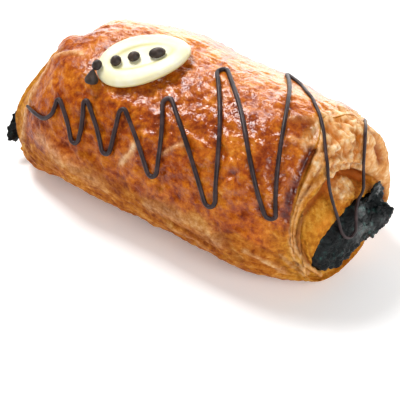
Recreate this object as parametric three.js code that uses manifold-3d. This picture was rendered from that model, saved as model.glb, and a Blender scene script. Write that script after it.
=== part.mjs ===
// A baked pain au chocolat: a roll of laminated dough round a dark filling that runs right through it,
// with a plaque of white chocolate and five chocolate chips on top and a zigzag of dark chocolate piped over it.
// Millimetres, +Z up. The roll lies along X with its flat base on z = 0. Its glazed front faces -Y.
import * as THREE from 'three';
import { ConvexGeometry } from 'three/addons/geometries/ConvexGeometry.js';
import { ParametricGeometry } from 'three/addons/geometries/ParametricGeometry.js';
import * as BufferGeometryUtils from 'three/addons/utils/BufferGeometryUtils.js';
import Module from 'manifold-3d';

// The roll's cross-section at mid length
const rollWidth = 63.4;
const crownHeight = 54;
const widestLevel = 21.2; // height at which the roll is widest
const footDepth = 22.6; // how far the round underside would reach below that, before it flattens on the tray
const crownPower = 2.05; // squareness of the crown, 2 is an ellipse
const footPower = 2.4; // squareness of the lower corners
const heart = { y: 1.5, z: 15 }; // the section shrinks towards this point near the ends

// How the roll narrows towards each end: from this place on, by this share of the section at the end,
// and slowly at first where the power is high
const narrowing = [
  { from: 33.3, to: 60, top: 0.21, front: 0.51, under: 0.15, back: 0.43, power: 1.97 },
  { from: -25.3, to: -60, top: 0.53, front: 0.27, under: 0.05, back: 0.31, power: 2.5 },
];

// Swells (+) and dents (-) of the baked dough: place along the roll, turn round it in degrees
// (0 faces the back, 90 the top, 180 the front), how far each spreads both ways, and its height
const swells = [
  { x: -54, turn: 52, alongX: 8, round: 24, height: -2.9 },
  { x: 60, turn: 308, alongX: 9, round: 26, height: -6.6 },
  { x: -50.4, turn: 103, alongX: 4.5, round: 14, height: 2.8 },
  { x: -48.4, turn: 90, alongX: 5, round: 12, height: -2.8 },
  { x: -58.5, turn: 126, alongX: 6, round: 26, height: -1.2 },
  { x: -56, turn: 140, alongX: 6, round: 30, height: -1.6 },
  { x: -44, turn: 52, alongX: 8, round: 24, height: 0.6 },
  { x: -36, turn: 52, alongX: 8, round: 24, height: -1.5 },
  { x: -12, turn: 52, alongX: 10, round: 24, height: 1 },
  { x: 36, turn: 52, alongX: 8, round: 24, height: -1.5 },
  { x: 48, turn: 52, alongX: 8, round: 24, height: 1 },
  { x: -50, turn: 222, alongX: 10, round: 20, height: 2.3 },
  { x: -36, turn: 222, alongX: 10, round: 20, height: -1.3 },
  { x: 0, turn: 222, alongX: 24, round: 20, height: -0.5 },
  { x: 48, turn: 222, alongX: 10, round: 20, height: 0.8 },
  { x: 4, turn: 158, alongX: 14, round: 22, height: 0.9 },
  { x: 36, turn: 120, alongX: 10, round: 22, height: 0.8 },
  { x: -30, turn: 190, alongX: 9, round: 16, height: 0.9 },
  { x: -20, turn: 136, alongX: 15, round: 13, height: 1.6 },
  { x: -14, turn: 106, alongX: 12, round: 15, height: -1.7 },
  { x: -18, turn: 14, alongX: 14, round: 24, height: 1.2 },
  { x: 24, turn: 8, alongX: 12, round: 20, height: -1.3 },
  { x: -43, turn: 126, alongX: 9, round: 6, height: 1 },
];

// The filling's band, an oval that lies low in the roll and shows at both ends
const bandWidth = 35.5;
const bandThick = 17.5;
const bandMiddle = { y: -0.2, z: 15.6 };
const bandTilt = THREE.MathUtils.degToRad(5); // its back edge lies higher
const clearance = 0.3; // gap between pieces that touch
const lumpHeight = 0.8; // unevenness of the filling where it stands out

// Torn slabs of filling that stand out at the ends, and a spur over the right one, by their corners
const rightFlake = [[59.5, 14.5, 20.5], [59.5, 15.5, 15], [59.5, 10, 11], [59.5, 8, 19.5], [63.6, 10.7, 21.7],
  [66.5, 13.5, 20.2], [66.2, 13.6, 17.9], [66.2, 9.8, 14.7], [64.8, 11.5, 12.7], [64.8, 8, 11.8],
  [63.6, 6.6, 10.8], [63.6, 4.8, 12.4], [63.2, 3.6, 17.1]];
const rightSpur = [[60.6, 6.3, 22.5], [60.6, 10.6, 27], [60.6, 13.6, 27], [60.6, 15.4, 22], [60.6, 14, 18.6],
  [61.8, 5.6, 25.4], [61.8, 8.6, 29.1], [61.8, 12.1, 29.5], [61.8, 14, 27], [61.8, 14.6, 24], [62, 13, 20.7]];
const leftFlake = [[-61.9, -12, 18.5], [-61.9, -15.5, 16], [-61.9, -13.5, 11], [-63, -17.2, 16.5],
  [-65.8, -17.2, 17.2], [-66.3, -19.8, 13.9], [-66.5, -20.9, 11.4], [-66.1, -22.2, 9.2], [-65.5, -20.9, 6.8],
  [-64.5, -18.5, 4.8], [-66.3, -15.5, 7]];

// The wraps that show at the ends, from the outer sheet inwards. Each goes from an outer to an inner share
// of the way out from the band, and has a lip at some place along the roll, given for the top, front,
// underside and back. Behind the lip is a groove, deepest at the turn of its recess.
const rightWraps = [
  { outer: 1, inner: 0.9, top: 49.5, front: 53, under: 57, back: 50.5, groove: 1.5, recess: 90, rounded: 1.2 },
  { outer: 0.87, inner: 0.7, top: 57.5, front: 55.5, under: 58, back: 58, groove: 5, recess: 62, rounded: 3 },
  { outer: 0.62, inner: 0.04, top: 60, front: 58.5, under: 59, back: 60 },
];
const leftWraps = [
  { outer: 1, inner: 0.88, top: -55, front: -57.5, under: -58, back: -55, groove: 1.8, recess: 90, rounded: 1.2 },
  { outer: 0.84, inner: 0.7, top: -58.5, front: -60, under: -59, back: -58.5, groove: 3, recess: 90, rounded: 2 },
  { outer: 0.64, inner: 0.04, top: -60.5, front: -61.5, under: -60, back: -60.5 },
];

// The dark chocolate strand: turning points of its zigzag, as [place along the roll, turn in degrees,
// width of the loop there, how far the leg that leads to it bows to the right]
const zigzag = [
  [-50.8, 162, 0, 0], [-38.5, 160.8, 6, -0.4], [-35.2, 147.8, 2, 0.5], [-24.8, 166.9, 3.2, 1], [-24, 141.9, 2, 0.5],
  [-11.9, 164.7, 3.6, 0.8], [-10.1, 138, 2.4, 0.3], [7.9, 164.1, 3.6, 1], [1.6, 122.1, 3, 1.5], [30.5, 165.7, 3.8, 2],
  [9.3, 89.5, 3, 4], [48.5, 159.6, 3, 4.5], [23.2, 62.3, 1.6, 5],
];
const strandRadius = 0.8;
const strandLift = 0.3; // its centre line runs this far above the dough
const shoulderTurn = 3; // degrees between a turning point's tip and its shoulders
const legStep = 10; // degrees between the points of a leg
const strandStep = 2.2; // length of one straight piece of the strand

// Where the strand goes on over the right end, as points [x, y, z]: down the dough, over the filling and up again
const strandDown = [[28.2, 13.6, 50.6], [36, 8.5, 52.4], [42.4, 3.2, 53.2], [50.8, -3.7, 50.2], [55.4, -8, 46.4],
  [58, -10.6, 41.6], [59.2, -10.4, 35.8], [59.9, -9.4, 30.4], [60.3, -8.8, 27.2]];
const strandOver = [[61.2, -8, 24.2], [62.3, -7.4, 20.6], [62.7, -5.8, 18.2], [62.7, -3, 17.3], [62.6, -0.9, 18.8],
  [62.3, 1, 21.9], [61.8, 2.8, 24.8]];
const strandUp = [[61.2, 4.2, 27.2], [60.4, 5.6, 32], [58.8, 7, 37.9], [57.2, 9.8, 43.6], [51.2, 18.8, 43.2]];

// The plaque of white chocolate, which leans to the front, and the shallow dip in its face
const plaque = { length: 30.4, width: 20.2, thick: 2.8, x: -14.2, y: -9.9, turned: 47, lean: 17, sag: 0.011 };
const dip = { length: 0.74, width: 0.52, depth: 0.6 }; // shares of the plaque's length and width, and millimetres

// Chips on the plaque, by their place along and across it, and the drop on the dough beside its tip.
// Profiles are in shares of the radius and the height.
const domed = [[0, 0], [0.8, 0], [1, 0.3], [0.86, 0.6], [0.45, 0.88], [0, 1]];
const pointed = [[0, 0], [0.87, 0], [1, 0.2], [0.75, 0.5], [0.38, 0.82], [0, 1]];
const chips = [
  { name: 'chip_1', along: -14.5, across: 0.6, radius: 1.7, tall: 2.3, long: 1 },
  { name: 'chip_2', along: -8.4, across: 0.2, radius: 1.8, tall: 2.4, long: 1 },
  { name: 'chip_3', along: -2.6, across: -0.2, radius: 1.8, tall: 2.3, long: 1.1 },
  { name: 'chip_4', along: 4.8, across: -1.2, radius: 2, tall: 2.5, long: 1.35 },
];
const drop = { name: 'chip_5', x: -24.2, y: -23.8, radius: 2.2, tall: 4.7, lean: -14, profile: pointed };

const sectors = 50; // points round the roll
const sheetSpans = 22; // spans of the outer sheet between its edges
const turn = 2 * Math.PI;
const toRadians = THREE.MathUtils.degToRad;

const wasm = await Module();
wasm.setup();

// Closed solids from three.js geometries and back

function toSolid(geometry) {
  const bare = geometry.clone();
  for (const name of Object.keys(bare.attributes)) {
    if (name !== 'position') bare.deleteAttribute(name);
  }
  const merged = BufferGeometryUtils.mergeVertices(bare, 1e-3);
  const triangles = [];
  for (let i = 0; i < merged.index.count; i += 3) {
    const corners = [0, 1, 2].map((k) => merged.index.getX(i + k));
    if (new Set(corners).size === 3) triangles.push(...corners); // drops the empty triangles at a pole
  }
  return new wasm.Manifold(new wasm.Mesh({
    numProp: 3,
    vertProperties: merged.attributes.position.array,
    triVerts: new Uint32Array(triangles),
  }));
}

function toGeometry(solid) {
  const mesh = solid.getMesh();
  const geometry = new THREE.BufferGeometry();
  geometry.setAttribute('position', new THREE.BufferAttribute(mesh.vertProperties, 3));
  geometry.setIndex(new THREE.BufferAttribute(mesh.triVerts, 1));
  geometry.computeVertexNormals();
  return geometry;
}

// A skin over rings of points: each ring is a function of the angle round the roll
function skin(rings, count, closed) {
  const spans = closed ? rings.length : rings.length - 1;
  return new ParametricGeometry((u, v, target) => {
    const ring = rings[Math.round(u * spans) % rings.length];
    const sector = Math.round(v * count) % count;
    target.copy(ring((-sector / count) * turn));
  }, spans, count);
}

// The dough's form

// 1 at the middle, fading to 0 over the reach
function bell(distance, reach) {
  return Math.exp(-((distance / reach) ** 2));
}

function angleBetween(a, b) {
  return Math.atan2(Math.sin(a - b), Math.cos(a - b));
}

// A value given for the top, front, underside and back, at an angle round the roll
function around(values, angle) {
  const c = Math.cos(angle);
  const s = Math.sin(angle);
  return (s > 0 ? values.top : values.under) * s * s + (c > 0 ? values.back : values.front) * c * c;
}

function sectionSize(x, angle) {
  let size = 1;
  for (const end of narrowing) {
    const share = Math.max(0, (x - end.from) / (end.to - end.from));
    size -= around(end, angle) * share ** end.power;
  }
  for (const swell of swells) {
    const away = angleBetween(angle, toRadians(swell.turn));
    size += (swell.height / 30) * bell(x - swell.x, swell.alongX) * bell(away, toRadians(swell.round));
  }
  return size;
}

function sheetPoint(x, angle) {
  const c = Math.cos(angle);
  const s = Math.sin(angle);
  const power = 2 / (s > 0 ? crownPower : footPower);
  const rise = s > 0 ? crownHeight - widestLevel : footDepth;
  const y = (rollWidth / 2) * Math.sign(c) * Math.abs(c) ** power;
  const z = widestLevel + rise * Math.sign(s) * Math.abs(s) ** power;
  const size = sectionSize(x, angle);
  return new THREE.Vector3(x, heart.y + (y - heart.y) * size, Math.max(0, heart.z + (z - heart.z) * size));
}

function sheetNormal(x, angle) {
  const here = sheetPoint(x, angle);
  const alongX = sheetPoint(x + 0.1, angle).sub(here);
  const round = sheetPoint(x, angle + 0.01).sub(here);
  return round.cross(alongX).normalize();
}

// The height of the crown above a place on the table
function crownAbove(x, y) {
  let [low, high] = [0, Math.PI];
  for (let i = 0; i < 30; i += 1) {
    const angle = (low + high) / 2;
    if (sheetPoint(x, angle).y > y) low = angle;
    else high = angle;
  }
  return sheetPoint(x, low).z;
}

// The oval outline of the band, or of the tunnel round it
function bandPoint(x, angle, size, extra) {
  const y = size * (bandWidth / 2 + extra) * Math.cos(angle);
  const z = size * (bandThick / 2 + extra) * Math.sin(angle);
  return new THREE.Vector3(
    x,
    bandMiddle.y + y * Math.cos(bandTilt) - z * Math.sin(bandTilt),
    bandMiddle.z + y * Math.sin(bandTilt) + z * Math.cos(bandTilt),
  );
}

// A point of an end face, between the tunnel (share 0) and the outer sheet's edge (share 1)
function endPoint(x, angle, share, wraps) {
  const edge = sheetPoint(around(wraps[0], angle), angle).setX(x);
  return bandPoint(x, angle, 1, clearance).lerp(edge, share);
}

// Rings of one end, from the outer sheet's edge to the tunnel's mouth. side is 1 on the right and -1 on the left.
function endRings(wraps, side) {
  const rings = [];
  wraps.forEach((wrap, index) => {
    const next = wraps[index + 1];
    for (const step of next ? [0, 0.3, 0.7, 1] : [0, 0.15, 0.4, 0.7, 1]) {
      const rounding = next ? wrap.rounded * (2 * step - 1) ** 2 : 5 * (1 - step) ** 2.2;
      const share = THREE.MathUtils.lerp(wrap.outer, wrap.inner, step);
      rings.push((angle) => endPoint(around(wrap, angle) - side * rounding, angle, share, wraps));
    }
    if (next) {
      rings.push((angle) => {
        const depth = wrap.groove * (0.35 + 0.65 * bell(angleBetween(angle, toRadians(wrap.recess)), 0.9));
        const lip = Math.min(side * around(wrap, angle), side * around(next, angle) - 1);
        return endPoint(side * (lip - depth), angle, (wrap.inner + next.outer) / 2, wraps);
      });
    }
  });
  return rings;
}

function outerRings() {
  return Array.from({ length: sheetSpans - 1 }, (_, i) => (angle) => {
    const from = around(leftWraps[0], angle) + 1;
    const to = around(rightWraps[0], angle) - 1;
    return sheetPoint(THREE.MathUtils.lerp(from, to, (i + 1) / sheetSpans), angle);
  });
}

function tunnelRings() {
  return [56, 28, -28, -56].map((x) => (angle) => bandPoint(x, angle, 1, clearance));
}

// The strand: a six-sided bead along a smooth curve

function strand(points) {
  const section = new THREE.Shape();
  section.absarc(0, 0, strandRadius, 0, turn, false);
  const curve = new THREE.CatmullRomCurve3(points, false, 'centripetal');
  const steps = Math.round(curve.getLength() / strandStep);
  return toSolid(new THREE.ExtrudeGeometry(section, {
    extrudePath: curve, steps, curveSegments: 3, bevelEnabled: false,
  }));
}

// Points of the zigzag on the dough: each turning point is a tip between two shoulders, and a leg leads to it
function zigzagPoints() {
  const points = [];
  const add = (x, degrees) => {
    const angle = toRadians(degrees);
    points.push(sheetPoint(x, angle).addScaledVector(sheetNormal(x, angle), strandLift));
  };
  zigzag.forEach(([x, degrees, loop, bow], i) => {
    if (i === 0) {
      add(x, degrees);
      return;
    }
    const [lastX, lastDegrees, lastLoop] = zigzag[i - 1];
    const count = Math.round(Math.abs(degrees - lastDegrees) / legStep);
    for (let k = 1; k <= count; k += 1) {
      const share = k / (count + 1);
      const straight = THREE.MathUtils.lerp(lastX + lastLoop / 2, x - loop / 2, share);
      add(straight + bow * Math.sin(Math.PI * share), THREE.MathUtils.lerp(lastDegrees, degrees, share));
    }
    const shoulder = degrees + shoulderTurn * Math.sign(lastDegrees - degrees);
    add(x - loop / 2, shoulder);
    add(x, degrees);
    add(x + loop / 2, shoulder);
  });
  return points;
}

function asVectors(points) {
  return points.map(([x, y, z]) => new THREE.Vector3(x, y, z));
}

function doughSolid() {
  const body = toSolid(skin([
    ...endRings(leftWraps, -1).reverse(),
    ...outerRings(),
    ...endRings(rightWraps, 1),
    ...tunnelRings(),
  ], sectors, true));
  return body
    .add(strand([...zigzagPoints(), ...asVectors(strandDown)]))
    .add(strand(asVectors(strandUp)));
}

// The filling: a bar that fills the tunnel, with lumpy ends. Each ring is a place along the roll and the band's size there.

const fillingRings = [
  [-64.6, 0], [-64.4, 0.45], [-63.8, 0.8], [-62.6, 0.95], [-61, 1], [-56, 1], [-28, 1], [28, 1], [56, 1],
  [58.5, 1], [60.4, 0.96], [61.6, 0.82], [62.3, 0.5], [62.6, 0],
];

function fillingSolid() {
  const rings = fillingRings.map(([x, size]) => (angle) => {
    const free = Math.abs(x) > 60 ? size : 0;
    const lump = 0.5 * lumpHeight * free * (Math.sin(3 * angle + x) + Math.cos(7 * angle - x));
    return bandPoint(x + Math.sign(x) * lump, angle, size, -Math.abs(lump));
  });
  const body = toSolid(skin(rings, sectors / 2, false));
  return body
    .add(toSolid(new ConvexGeometry(asVectors(rightFlake))))
    .add(toSolid(new ConvexGeometry(asVectors(leftFlake))))
    .add(toSolid(new ConvexGeometry(asVectors(rightSpur))))
    .add(strand(asVectors(strandOver)));
}

// The plaque and the chips

// Puts a geometry made on the plaque's own plane into its place on the roll
function ontoPlaque(geometry, along, across, up) {
  geometry.translate(along, across, up).rotateZ(toRadians(plaque.turned));
  const position = geometry.attributes.position;
  for (let i = 0; i < position.count; i += 1) {
    position.setZ(i, position.getZ(i) - plaque.sag * position.getY(i) ** 2);
  }
  return geometry.rotateX(toRadians(plaque.lean)).translate(plaque.x, plaque.y, 0);
}

function plaqueGeometry() {
  const { thick } = plaque;
  const profile = [
    [0, 0], [0.93, 0], [0.98, 0.15 * thick], [1, 0.45 * thick], [0.985, 0.8 * thick], [0.94, 0.97 * thick],
    [0.88, thick], [0.76, thick], [0.7, thick - dip.depth], [0, thick - dip.depth],
  ];
  const geometry = new THREE.LatheGeometry(profile.map(([r, z]) => new THREE.Vector2(r, z)), 44).rotateX(Math.PI / 2);
  const position = geometry.attributes.position;
  for (let i = 0; i < position.count; i += 1) {
    const share = Math.hypot(position.getX(i), position.getY(i));
    const narrow = share < 0.8 ? dip.width / dip.length : 1;
    position.setX(i, (position.getX(i) * plaque.length) / 2);
    position.setY(i, (position.getY(i) * plaque.width * narrow) / 2);
  }
  return ontoPlaque(geometry, 0, 0, 0);
}

function chipGeometry({ radius, tall, long = 1, profile = domed }) {
  return new THREE.LatheGeometry(profile.map(([r, z]) => new THREE.Vector2(r * radius, z * tall)), 10)
    .rotateX(Math.PI / 2).scale(long, 1, 1);
}

// How far a geometry has to be raised to rest on the crown with the usual gap
function restingHeight(geometry) {
  const position = geometry.attributes.position;
  let height = 0;
  for (let i = 0; i < position.count; i += 1) {
    height = Math.max(height, crownAbove(position.getX(i), position.getY(i)) - position.getZ(i));
  }
  return height + clearance;
}

function material(colour, roughness) {
  return new THREE.MeshStandardMaterial({ color: colour, roughness, metalness: 0 });
}

const crust = material(0xb8651f, 0.35);
const darkFilling = material(0x1d1c1e, 0.6);
const whiteChocolate = material(0xf3edc4, 0.45);
const darkChocolate = material(0x33211c, 0.4);

const roll = new THREE.Group();

function addPiece(name, geometry, look) {
  const mesh = new THREE.Mesh(geometry, look);
  mesh.name = name;
  roll.add(mesh);
  return mesh;
}

addPiece('dough', toGeometry(doughSolid()), crust);
addPiece('filling', toGeometry(fillingSolid()), darkFilling);

const plaqueShape = plaqueGeometry();
const plaqueRise = restingHeight(plaqueShape);
addPiece('white_plaque', toGeometry(toSolid(plaqueShape)), whiteChocolate).position.z = plaqueRise;

for (const chip of chips) {
  const floor = plaque.thick - (Math.abs(chip.along) < 0.35 * plaque.length ? dip.depth : 0);
  const shape = ontoPlaque(chipGeometry(chip), chip.along, chip.across, floor + clearance);
  addPiece(chip.name, toGeometry(toSolid(shape)), darkChocolate).position.z = plaqueRise;
}

const dropShape = chipGeometry(drop).rotateX(toRadians(drop.lean)).translate(drop.x, drop.y, 0);
addPiece(drop.name, toGeometry(toSolid(dropShape)), darkChocolate).position.z = restingHeight(dropShape);

export default roll;
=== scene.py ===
# A pain au chocolat: a glazed roll of flaky dough round a dark filling, with a plaque of white chocolate,
# chocolate chips and a zigzag of piped dark chocolate. Lengths in the dictionaries are in millimetres.
import math

import bmesh
import bpy
import numpy as np
from mathutils import Matrix, Vector, noise
from mathutils.bvhtree import BVHTree


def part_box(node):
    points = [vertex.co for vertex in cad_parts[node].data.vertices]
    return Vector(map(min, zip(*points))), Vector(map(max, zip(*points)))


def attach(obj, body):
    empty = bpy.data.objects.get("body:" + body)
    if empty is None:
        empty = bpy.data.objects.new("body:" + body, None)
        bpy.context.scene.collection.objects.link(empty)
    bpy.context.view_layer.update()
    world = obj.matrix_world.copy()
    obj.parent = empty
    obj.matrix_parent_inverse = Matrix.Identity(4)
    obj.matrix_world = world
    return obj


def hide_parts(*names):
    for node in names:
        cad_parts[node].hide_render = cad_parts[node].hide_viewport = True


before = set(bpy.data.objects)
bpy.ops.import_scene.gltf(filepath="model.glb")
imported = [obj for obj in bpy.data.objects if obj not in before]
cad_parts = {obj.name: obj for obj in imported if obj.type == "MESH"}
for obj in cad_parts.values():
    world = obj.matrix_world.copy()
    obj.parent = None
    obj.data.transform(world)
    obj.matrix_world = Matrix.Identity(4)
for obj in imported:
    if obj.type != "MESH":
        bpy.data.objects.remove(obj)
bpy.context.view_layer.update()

mm = 0.001
print("frame loaded:", len(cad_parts), "nodes")


# Helpers for every piece

def linearColour(hexCode):
    channels = [int(hexCode[i:i + 2], 16) / 255 for i in (1, 3, 5)]
    return [c / 12.92 if c <= 0.04045 else ((c + 0.055) / 1.055) ** 2.4 for c in channels] + [1.0]


def addNode(tree, kind, inputs=None, stops=None, **settings):
    node = tree.nodes.new(kind)
    for name, value in settings.items():
        setattr(node, name, value)
    for name, value in (inputs or {}).items():
        if isinstance(value, bpy.types.NodeSocket):
            tree.links.new(value, node.inputs[name])
        else:
            node.inputs[name].default_value = value
    if stops:
        elements = node.color_ramp.elements
        while len(elements) < len(stops):
            elements.new(0.5)
        for element, (place, colour) in zip(elements, stops):
            element.position = place
            element.color = linearColour(colour) if isinstance(colour, str) else (colour, colour, colour, 1)
    return node


def newMaterial(name):
    material = bpy.data.materials.new(name)
    material.use_nodes = True
    material.node_tree.nodes.clear()
    return material, material.node_tree


def finishPiece(name, mesh, material, nodes):
    piece = bpy.data.objects.new(name, mesh)
    bpy.context.scene.collection.objects.link(piece)
    mesh.materials.clear()
    mesh.materials.append(material)
    mesh.shade_smooth()
    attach(piece, "root")
    if nodes:
        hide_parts(*nodes)
    return piece


def bell(distance, reach):
    return np.exp(-((distance / reach) ** 2))


def smoothStep(low, high, value):
    share = np.clip((value - low) / (high - low), 0, 1)
    return share * share * (3 - 2 * share)


def noiseOver(places, size, seed=0.0, octaves=3):
    # Perlin noise about 0, with a pattern of this size in millimetres along x, y and z
    scaled = places.reshape(-1, 3) / np.array(size, float) + seed
    values = [noise.fractal(Vector(p), 0.9, 2.1, octaves) for p in scaled]
    return np.array(values).reshape(places.shape[:-1])


# The view. Azimuth is turned from the front to the right, and the distance is from the aim.

view = {"azimuth": 38.963, "elevation": 34.456, "distance": 597.06, "centre": (0, 0, 24),
        "centreInFrame": (199.06, 140.32), "frame": 400, "focal": 1852.7, "sensor": 36}


def viewAxes():
    az, el = math.radians(view["azimuth"]), math.radians(view["elevation"])
    back = Vector((math.sin(az) * math.cos(el), -math.cos(az) * math.cos(el), math.sin(el)))
    right = Vector((math.cos(az), math.sin(az), 0))
    return right, back.cross(right), back


def inFrame(places):
    # where places in millimetres fall in the view, from its top left corner
    right, up, back = (np.array(axis) for axis in viewAxes())
    away = places - np.array(view["centre"])
    scale = view["focal"] / (view["distance"] - away @ back)
    u, v = view["centreInFrame"]
    return np.stack([u + away @ right * scale, v - away @ up * scale], -1)


# The roll's form. Turn is the angle round the roll: 0 back, 90 top, 180 front, 270 underside.

roll = {
    "width": 63.4, "crownHeight": 54.0, "widestLevel": 21.2, "footDepth": 22.6,
    "crownPower": 2.05, "footPower": 2.4, "heartY": 1.5, "heartZ": 15.0,
    "narrowing": [
        {"start": 33.3, "end": 60, "top": 0.21, "front": 0.51, "under": 0.15, "back": 0.43, "power": 1.97},
        {"start": -25.3, "end": -60, "top": 0.53, "front": 0.27, "under": 0.05, "back": 0.31, "power": 2.5},
    ],
    # place along the roll, turn, reach along, reach round in degrees, height at a radius of swellRadius
    "swellRadius": 30, "swells": [
        (-54, 52, 8, 24, -2.9), (-50.4, 103, 4.5, 14, 2.8), (-48.4, 90, 5, 12, -2.8), (-56, 140, 6, 30, -1.6),
        (-44, 52, 8, 24, 0.6), (-36, 52, 8, 24, -1.5), (-12, 52, 10, 24, 1), (36, 52, 8, 24, -1.5),
        (48, 52, 8, 24, 1), (-50, 222, 10, 20, 2.3), (-36, 222, 10, 20, -1.3), (0, 222, 24, 20, -0.5),
        (48, 222, 10, 20, 0.8), (4, 158, 14, 22, 0.9), (36, 120, 10, 22, 0.8), (-30, 190, 9, 16, 0.9),
        (-20, 136, 15, 13, 1.6), (-14, 106, 12, 15, -1.7), (-18, 14, 14, 24, 1.2), (24, 8, 12, 20, -1.3),
        (-43, 126, 9, 6, 1), (-58.5, 126, 6, 26, -1.2), (60, 308, 9, 26, -6.6),
    ],
    "bandWidth": 35.5, "bandThick": 17.5, "bandY": -0.2, "bandZ": 15.6, "bandTilt": 5.0, "clearance": 0.3,
}

# The left end's wraps, from the outer sheet inwards: lips along the roll at the top, front, underside and back,
# shares of the way out from the band, and the groove behind each lip
leftWraps = [
    {"outer": 1, "inner": 0.88, "top": -55, "front": -57.5, "under": -58, "back": -55, "groove": 1.8, "recess": 90,
     "rounded": 1.2, "steps": 7},
    {"outer": 0.84, "inner": 0.7, "top": -58.5, "front": -60, "under": -59, "back": -58.5, "groove": 3, "recess": 90,
     "rounded": 2, "steps": 11},
    {"outer": 0.64, "inner": 0.04, "top": -60.5, "front": -61.5, "under": -60, "back": -60.5, "steps": 22},
]

# The right end, by (turn, value): where the glazed sheet is torn off, the paler layers under it and their lip,
# the groove between them and the inner wrap, and the inner wrap's own lip round the filling
rightEnd = {
    "mouldEdge": {"top": 49.5, "front": 53, "under": 57, "back": 50.5},
    "sheetEdge": [(0, 51), (30, 51), (59, 52), (65, 50), (82, 49), (86, 47), (91, 47), (97, 49.6), (103, 51.2),
                  (119, 52.5), (139, 53), (160, 53), (172, 53.8), (186, 54.8), (206, 56.8), (270, 57), (330, 53)],
    "layersLip": [(0, 57.8), (45, 57.6), (90, 57.6), (108, 57), (120, 56.2), (135, 55.6), (150, 55.2), (170, 55.6),
                  (186, 56.6), (206, 58), (270, 58.2), (330, 58)],
    "lipShare": [(0, 0.3), (40, 0.26), (52, 0.27), (70, 0.4), (85, 0.5), (98, 0.55), (110, 0.54), (124, 0.57),
                 (132, 0.66), (138, 0.75), (146, 0.84), (154, 0.89), (165, 0.91), (175, 0.9), (200, 0.86), (270, 0.8),
                 (330, 0.5)],
    "grooveShare": [(0, 0.22), (40, 0.18), (55, 0.19), (74, 0.3), (88, 0.38), (100, 0.38), (117, 0.4), (125, 0.45),
                    (132, 0.52), (143, 0.63), (155, 0.71), (165, 0.73), (175, 0.73), (200, 0.7), (270, 0.66),
                    (330, 0.4)],
    "grooveDepth": [(0, 0.4), (35, 0.8), (48, 2.2), (60, 4.5), (75, 5), (88, 4.6), (98, 2.8), (110, 2.6), (124, 2.8),
                    (138, 2.8), (150, 2.4), (165, 1.6), (180, 1.1), (200, 0.9), (270, 0.8), (330, 0.5)],
    "innerLip": [(0, 59.6), (50, 59.8), (90, 60), (135, 59.3), (180, 58.8), (270, 59.2)],
    "faceShare": 0.87, "edgeSteps": 5, "faceSteps": 11, "lipSteps": 11, "innerSteps": 28,
}
# Painted shade: the dough is coloured darker in its grooves and recesses, most of all where a groove is this deep
fullShadeDepth = 5  # a groove this deep has its darkest colour


def byTurn(points, turn):
    turns, values = zip(*points)
    return np.interp(turn, turns, values, period=360)


def around(values, angle):
    c, s = np.cos(angle), np.sin(angle)
    return (np.where(s > 0, values["top"], values["under"]) * s * s
            + np.where(c > 0, values["back"], values["front"]) * c * c)


def angleBetween(a, b):
    return np.arctan2(np.sin(a - b), np.cos(a - b))


def sectionSize(x, angle):
    size = np.ones(np.broadcast(x, angle).shape)
    for end in roll["narrowing"]:
        share = np.maximum(0, (x - end["start"]) / (end["end"] - end["start"]))
        size = size - around(end, angle) * share ** end["power"]
    for place, turn, along, spread, height in roll["swells"]:
        away = angleBetween(angle, math.radians(turn))
        size = size + height / roll["swellRadius"] * bell(x - place, along) * bell(away, math.radians(spread))
    return size


def sheetPoint(x, angle):
    c, s = np.cos(angle), np.sin(angle)
    power = 2 / np.where(s > 0, roll["crownPower"], roll["footPower"])
    rise = np.where(s > 0, roll["crownHeight"] - roll["widestLevel"], roll["footDepth"])
    y = roll["width"] / 2 * np.sign(c) * np.abs(c) ** power
    z = roll["widestLevel"] + rise * np.sign(s) * np.abs(s) ** power
    size = sectionSize(x, angle)
    y = roll["heartY"] + (y - roll["heartY"]) * size
    z = np.maximum(0, roll["heartZ"] + (z - roll["heartZ"]) * size)
    return np.stack(np.broadcast_arrays(x, y, z), -1)


def sheetNormal(x, angle):
    here = sheetPoint(x, angle)
    normal = np.cross(sheetPoint(x, angle + 0.01) - here, sheetPoint(x + 0.1, angle) - here)
    return normal / np.linalg.norm(normal, axis=-1, keepdims=True)


def bandPoint(x, angle, size, extra):
    y = size * (roll["bandWidth"] / 2 + extra) * np.cos(angle)
    z = size * (roll["bandThick"] / 2 + extra) * np.sin(angle)
    c, s = math.cos(math.radians(roll["bandTilt"])), math.sin(math.radians(roll["bandTilt"]))
    return np.stack(np.broadcast_arrays(x, roll["bandY"] + y * c - z * s, roll["bandZ"] + y * s + z * c), -1)


# The dough

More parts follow.
